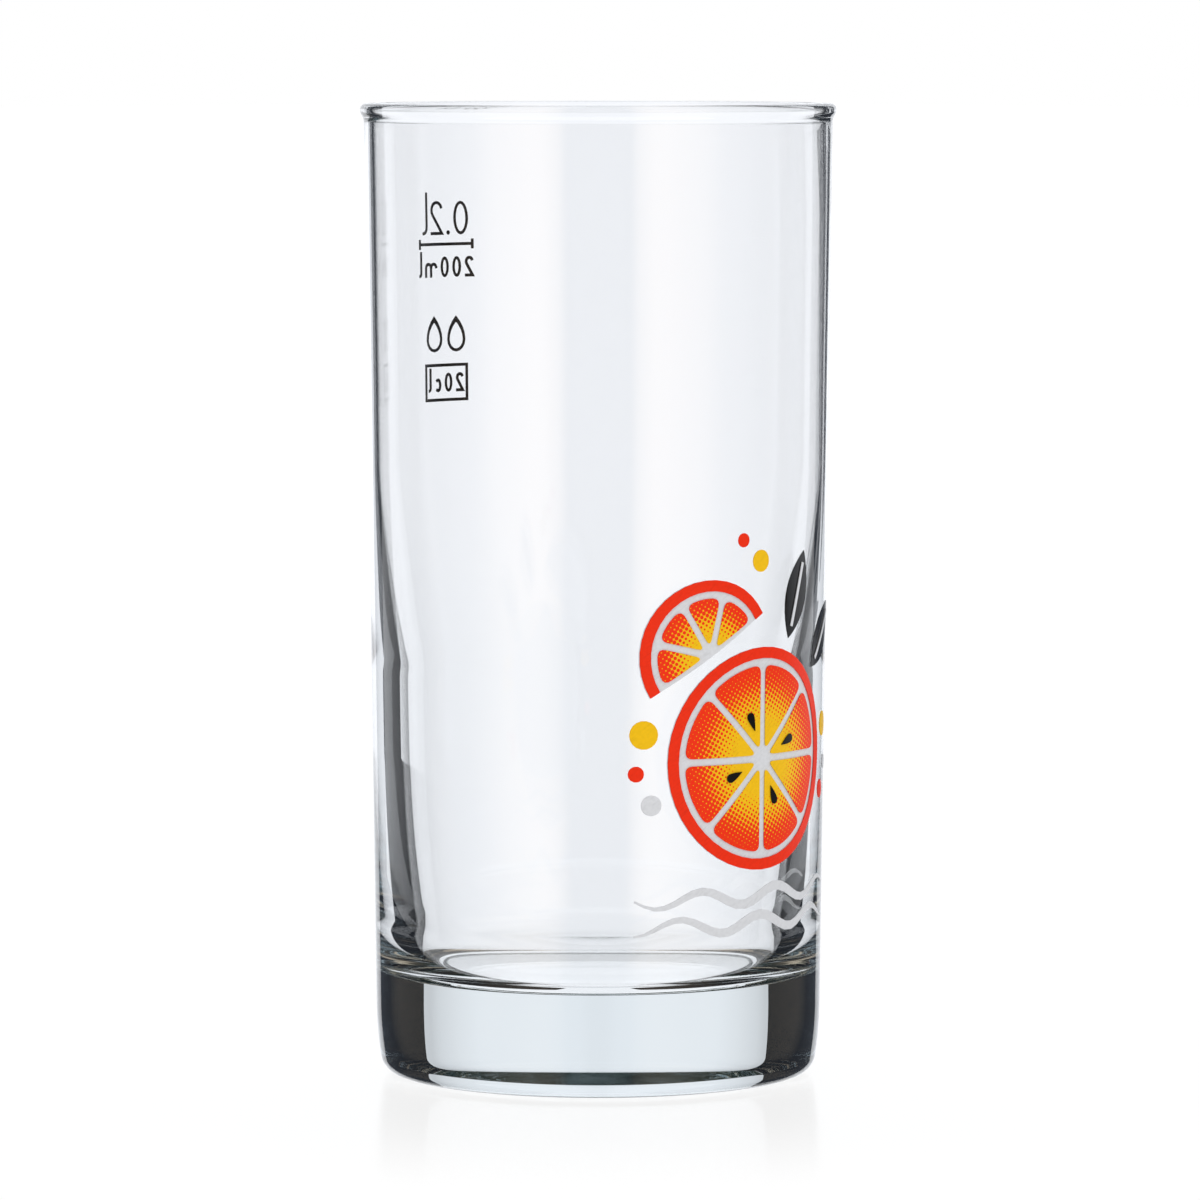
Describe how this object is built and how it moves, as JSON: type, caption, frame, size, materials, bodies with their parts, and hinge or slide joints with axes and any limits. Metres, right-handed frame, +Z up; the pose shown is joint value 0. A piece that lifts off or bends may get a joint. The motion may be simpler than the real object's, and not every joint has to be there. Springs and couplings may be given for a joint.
{
  "type": "highball glass",
  "caption": "Straight, slightly tapered highball drinking glass with a heavy base, thickened lower wall, beaded rim, gauged fill mark and fired enamel print.",
  "frame": {"origin": "middle of the foot, on the table", "axes": "+Z up along the glass's axis, -Y towards the print, +Y towards the fill mark"},
  "size_m": [0.0604, 0.0604, 0.1236],
  "materials": {
    "glass": "clear, fire-polished",
    "enamel_silver": "fired screen print, satin",
    "enamel_yellow": "fired screen print, glossy",
    "enamel_red": "fired screen print, glossy",
    "enamel_black": "fired screen print, glossy",
    "enamel_mark": "fired screen print, glossy"
  },
  "bodies": {
    "root": {"bubble_1": "enamel_yellow", "bubble_2": "enamel_red", "bubble_3": "enamel_silver", "bubble_4": "enamel_yellow", "bubble_5": "enamel_silver", "bubble_6": "enamel_red", "bubble_7": "enamel_yellow", "bubble_8": "enamel_red", "centilitres_1_two": "enamel_mark", "centilitres_2_zero": "enamel_mark", "centilitres_3_centi": "enamel_mark", "centilitres_4_litre": "enamel_mark", "drop_left": "enamel_mark", "drop_right": "enamel_mark", "figure_frame": "enamel_mark", "fill_line": "enamel_mark", "glass_body": "glass", "leaf_1": "enamel_black", "leaf_2": "enamel_black", "leaf_vein_1": "enamel_silver", "leaf_vein_2": "enamel_silver", "litres_1_zero": "enamel_mark", "litres_2_point": "enamel_mark", "litres_3_two": "enamel_mark", "litres_4_litre": "enamel_mark", "millilitres_1_two": "enamel_mark", "millilitres_2_zero": "enamel_mark", "millilitres_3_zero": "enamel_mark", "millilitres_4_milli": "enamel_mark", "millilitres_5_litre": "enamel_mark", "slice_pith": "enamel_silver", "slice_rind": "enamel_red", "slice_segment_1": "enamel_yellow", "slice_segment_2": "enamel_yellow", "slice_segment_3": "enamel_yellow", "slice_segment_4": "enamel_yellow", "wave_1": "enamel_silver", "wave_2": "enamel_silver", "wheel_pip_1": "enamel_black", "wheel_pip_2": "enamel_black", "wheel_pip_3": "enamel_black", "wheel_pip_4": "enamel_black", "wheel_pith": "enamel_silver", "wheel_rind": "enamel_red", "wheel_segment_1": "enamel_yellow", "wheel_segment_2": "enamel_yellow", "wheel_segment_3": "enamel_yellow", "wheel_segment_4": "enamel_yellow", "wheel_segment_5": "enamel_yellow", "wheel_segment_6": "enamel_yellow", "wheel_segment_7": "enamel_yellow", "wheel_segment_8": "enamel_yellow"}
  },
  "joints": []
}
